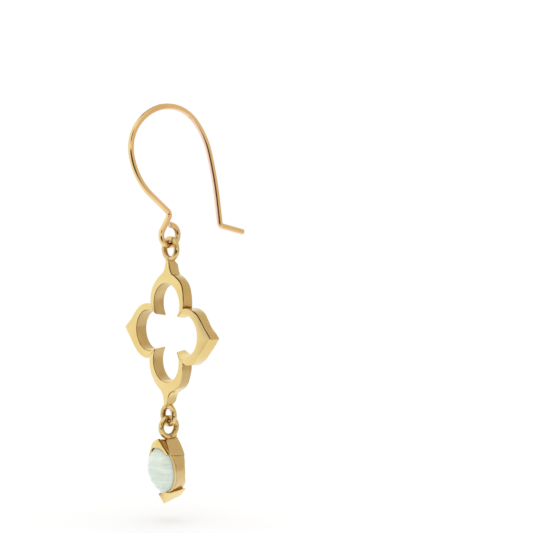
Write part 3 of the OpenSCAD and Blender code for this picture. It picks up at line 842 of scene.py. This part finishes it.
def noise(tree, place, scale, detail, roughness=0.5, stretch=None):
    # scale is in bumps to a metre, and stretch multiplies it along each axis.
    if stretch:
        place = newNode(tree, "Mapping", {"Vector": place, "Scale": stretch}).outputs["Vector"]
    inputs = {"Vector": place, "Scale": scale, "Detail": detail, "Roughness": roughness}
    return newNode(tree, "TexNoise", inputs).outputs["Fac"]


def attribute(tree, name):
    return newNode(tree, "Attribute", {}, attribute_name=name).outputs["Fac"]


def combine(tree, operation, first, second):
    return newNode(tree, "Math", {0: first, 1: second}, operation=operation).outputs[0]


def spread(tree, value, low, high, start=0.3, end=0.7):
    # Runs evenly from low at start to high at end, and stays there outside.
    inputs = {"Value": value, "From Min": start, "From Max": end, "To Min": low, "To Max": high}
    return newNode(tree, "MapRange", inputs).outputs["Result"]


def mixColours(tree, share, first, second, blend="MIX"):
    inputs = {0: share, 6: first, 7: second}
    return newNode(tree, "Mix", inputs, data_type="RGBA", blend_type=blend).outputs[2]


def bump(tree, height, strength, distance, **before):
    # The bump may follow another one, given as Normal.
    inputs = {"Height": height, "Strength": strength, "Distance": distance, **before}
    return newNode(tree, "Bump", inputs).outputs["Normal"]


def onlyMirrored(tree, plain, mirrored):
    # The plain shader for every ray but the ones that the gold mirrors, which see the other shader.
    rays = newNode(tree, "LightPath", {})
    mix = newNode(tree, "MixShader", {0: rays.outputs["Is Glossy Ray"], 1: plain, 2: mirrored})
    output = next(n for n in tree.nodes if n.type.startswith("OUTPUT"))
    setInputs(tree, output, {"Surface": mix.outputs[0]})


def goldMaterial(name):
    # Polished gold: two close tones in soft clouds that turn brown, amber and then dark with each point's
    # painted shade, painted reflection and grime, handling marks in the roughness, and the faint waves and
    # fine lines that polishing leaves.
    look = golds[name]
    material, tree, shader, place = newMaterial(name)
    clouds = noise(tree, place, golds["cloudScale"], 2)
    gold = mixColours(tree, spread(tree, clouds, 0, 1), look["light"], look["deep"])
    # painted light by the side of the bow: pink highlight inside, yellow-green fringe outside
    if "insideHighlightTint" in look:
        side = attribute(tree, "bowSide")
        gold = mixColours(tree, spread(tree, side, 0.7, 0, -1, -0.45), gold, look["insideHighlightTint"])
        gold = mixColours(tree, spread(tree, side, 0, 0.7, 0.6, 1), gold, look["outsideFringeTint"])
    uneven = spread(tree, noise(tree, place, golds["unevenScale"], 2), *golds["uneven"])
    # the painted shade and reflection of each point, made a little uneven
    shadeAndGrime = combine(tree, "MULTIPLY", attribute(tree, "shadeAndGrime"), uneven)
    for tone, start, end in (("brown", 0, 0.5), ("amber", 0.5, 0.7), ("dark", 0.7, 0.9)):
        gold = mixColours(tree, spread(tree, shadeAndGrime, 0, 1, start, end), gold, golds[tone])
    marks = spread(tree, noise(tree, place, golds["markScale"], 4, 0.6), *look["roughness"])
    dull = spread(tree, shadeAndGrime, 0, golds["dull"], 0, 0.5)
    waves = bump(tree, noise(tree, place, golds["waveScale"], 2), look["wave"], golds["waveDepth"])
    lines = noise(tree, place, golds["lineScale"], 3, 0.6, (1, 0.25, 0.25))
    setInputs(tree, shader, {
        "Metallic": 1.0, "Base Color": gold, "Roughness": combine(tree, "ADD", marks, dull),
        "Normal": bump(tree, lines, golds["lineStrength"], golds["lineDepth"], Normal=waves)})
    return material


def moonstoneMaterial():
    # Milky body with silky bands that lie nearly level in the stone, and a polished surface.
    material, tree, shader, place = newMaterial("moonstone")
    bands = noise(tree, place, milk["scale"], *milk["bands"])
    clouds = noise(tree, place, milk["scale"], 2)
    silk = mixColours(tree, spread(tree, bands, 0, 1), milk["greenish"], milk["white"])
    setInputs(tree, shader, {
        "Base Color": silk, "Roughness": spread(tree, clouds, *milk["roughness"]),
        "Normal": bump(tree, bands, *milk["relief"]), "IOR": milk["ior"], "Coat Weight": milk["coat"],
        "Subsurface Weight": milk["glow"], "Subsurface Radius": (1.0, 1.0, 1.0),
        "Subsurface Scale": milk["glowDepth"]})
    return material


hookGold, frameGold, milkStone = goldMaterial("hookGold"), goldMaterial("frameGold"), moonstoneMaterial()

pieces = [
    (hookWire, "hook", "ear_hook", "hook_gold", hookGold),
    (quatrefoilPlate, "quatrefoil_link", "quatrefoil", "frame_gold", frameGold),
    (topRing, "quatrefoil_link", "quatrefoil", "frame_gold", frameGold),
    (lowRing, "quatrefoil_link", "quatrefoil", "frame_gold", frameGold),
    (gallery, "drop", "stone_setting", "frame_gold", frameGold),
    (upperRoof, "drop", "stone_setting", "frame_gold", frameGold),
    (upperLip, "drop", "stone_setting", "frame_gold", frameGold),
    (lowerCap, "drop", "stone_setting", "frame_gold", frameGold),
    (dropRing, "drop", "stone_setting", "frame_gold", frameGold),
    (solder, "drop", "stone_setting", "frame_gold", frameGold),
    (moonstoneCut, "drop", "moonstone", "moonstone", milkStone),
]
for piece, body, node, slotName, material in pieces:
    piece.data.materials.append(material)
    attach(piece, body)
    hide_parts(node)
print("pieces:", len(pieces))


# Camera: same place, tilt and framing as in the photo

view = {"target": (0, 0.955, -31.06), "distance": 300, "azimuth": 52.6, "elevation": 6.21, "roll": 0.68,
        "pixelsPerMm": 7.25, "targetPixel": (171.0, 332.7), "imageSize": 533}


def makeCamera():
    # Right, up and back directions from azimuth, elevation and roll; the shift puts the target's pixel
    # where it is in the photo.
    a, e, r = (np.radians(view[k]) for k in ("azimuth", "elevation", "roll"))
    right = np.array([np.cos(a), np.sin(a), 0])
    up = np.array([-np.sin(a) * np.sin(e), np.cos(a) * np.sin(e), np.cos(e)])
    back = np.cross(right, up)
    turnedRight = right * np.cos(r) + up * np.sin(r)
    turnedUp = up * np.cos(r) - right * np.sin(r)
    place = (np.array(view["target"]) + view["distance"] * back) * mm
    data = bpy.data.cameras.new("camera")
    camera = addObject("camera", data)
    matrix = np.eye(4)
    matrix[:3, 0], matrix[:3, 1], matrix[:3, 2], matrix[:3, 3] = turnedRight, turnedUp, back, place
    camera.matrix_world = Matrix(matrix.tolist())
    size = view["imageSize"]
    data.sensor_width = 36
    data.lens = data.sensor_width * view["distance"] * view["pixelsPerMm"] / size
    data.shift_x = (size / 2 - view["targetPixel"][0]) / size
    data.shift_y = (view["targetPixel"][1] - size / 2) / size
    data.clip_start, data.clip_end = 0.01, 10
    bpy.context.scene.camera = camera


makeCamera()
print("camera ready")


# Studio: white round table and white surroundings, in which the gold mirrors a khaki side and dark places

studio = {
    "floorZ": -57.4, "floorSides": 96, "floorRadii": (0.02, 0.08, 0.16),
    "floorWhite": 0.60, "floorUneven": 0.01, "floorScale": 40, "floorGlow": 0.26,
    "patches": [
        # direction, inner and outer angle in degrees, colour that the white is multiplied by
        ((0.55, 0.75, 0.30), 48, 82, (0.76, 0.68, 0.54)),
        ((0.94, -0.33, -0.36), 13, 20, (0.30, 0.22, 0.16)),
        ((0.77, -0.59, -0.36), 13, 19, (0.15, 0.10, 0.07)),
        ((0.57, -0.82, -0.36), 13, 20, (0.30, 0.22, 0.16)),
        ((0.60, -0.65, 0.36), 9, 20, (0.06, 0.045, 0.035)),
    ],
    "darkSide": (0.59, 0.81, 0), "darkFrom": 0.01, "darkTo": 0.09, "darkColour": (0.76, 0.68, 0.54),
    "shadeAt": (0.095, -0.072, -0.0574), "shadeFrom": 0.095, "shadeTo": 0.045,
    "shadeColour": (0.07, 0.05, 0.035),
    "sun": 0.8, "sunAngle": 55,
}


def dotWith(tree, place, direction):
    # Cosine of the angle between a place's direction and the given one.
    inputs = {0: place, 1: np.array(direction) / np.linalg.norm(direction)}
    return newNode(tree, "VectorMath", inputs, operation="DOT_PRODUCT").outputs["Value"]


def makeFloor():
    # A round sheet: rows of one circle at growing radii round a middle disc.
    sides, r = studio["floorSides"], np.array(studio["floorRadii"])[:, None]
    a = fullTurn(sides)
    level = np.full((len(r), sides), studio["floorZ"] * mm)
    points = np.stack([r * np.cos(a), r * np.sin(a), level], -1).reshape(-1, 3)
    mesh = bpy.data.meshes.new("floor")
    faces = gridFaces(len(r), sides)[:, ::-1].tolist() + [list(range(sides))]
    mesh.from_pydata(points.tolist(), [], faces)
    floor = addObject("floor", mesh)
    material, tree, shader, place = newMaterial("floorWhite")
    white, uneven = studio["floorWhite"], studio["floorUneven"]
    spots = noise(tree, place, studio["floorScale"], 2)
    paint = mixColours(tree, spots, (white - uneven,) * 3, (white + uneven,) * 3)
    setInputs(tree, shader, {"Base Color": paint, "Roughness": 0.9, "Emission Color": (1, 1, 1),
                             "Emission Strength": studio["floorGlow"]})
    # What the gold mirrors of the floor: white underneath, khaki away towards one side, and the dark shade
    # in front.
    along = dotWith(tree, place, studio["darkSide"])
    away = spread(tree, along, 0, 1, studio["darkFrom"], studio["darkTo"])
    shade = newNode(tree, "VectorMath", {0: place, 1: studio["shadeAt"]}, operation="DISTANCE")
    near = spread(tree, shade.outputs["Value"], 1, 0, studio["shadeTo"], studio["shadeFrom"])
    sheet = mixColours(tree, away, (1, 1, 1), studio["darkColour"])
    mirrored = newNode(tree, "Emission", {"Color": mixColours(tree, near, sheet, studio["shadeColour"])})
    onlyMirrored(tree, shader.outputs["BSDF"], mirrored.outputs[0])
    mesh.materials.append(material)


def makeWorld():
    # All is white, but what the gold mirrors falls to each patch's colour inside that patch's angles.
    world = bpy.data.worlds.new("studio")
    world.use_nodes = True
    tree = world.node_tree
    tree.nodes.clear()
    newNode(tree, "OutputWorld", {})
    place = newNode(tree, "TexCoord", {}).outputs["Generated"]
    colour = (1, 1, 1)
    for direction, inner, outer, tint in studio["patches"]:
        share = spread(tree, dotWith(tree, place, direction), 0, 1,
                       np.cos(np.radians(outer)), np.cos(np.radians(inner)))
        colour = mixColours(tree, 1, colour, mixColours(tree, share, (1, 1, 1), tint), "MULTIPLY")
    plain = newNode(tree, "Background", {"Color": (1, 1, 1)})
    mirrored = newNode(tree, "Background", {"Color": colour})
    onlyMirrored(tree, plain.outputs[0], mirrored.outputs[0])
    bpy.context.scene.world = world


def makeSun():
    # Wide soft light from straight above; it shades the floor and doesn't show in the gold.
    data = bpy.data.lights.new("softTop", "SUN")
    data.energy = studio["sun"]
    data.angle = np.radians(studio["sunAngle"])
    light = addObject("softTop", data)
    light.location = (0, 0, 0.3)
    light.visible_glossy = False


makeFloor()
makeWorld()
makeSun()
bpy.context.scene.view_settings.view_transform = "Standard"
bpy.context.scene.view_settings.look = "None"
print("studio ready")
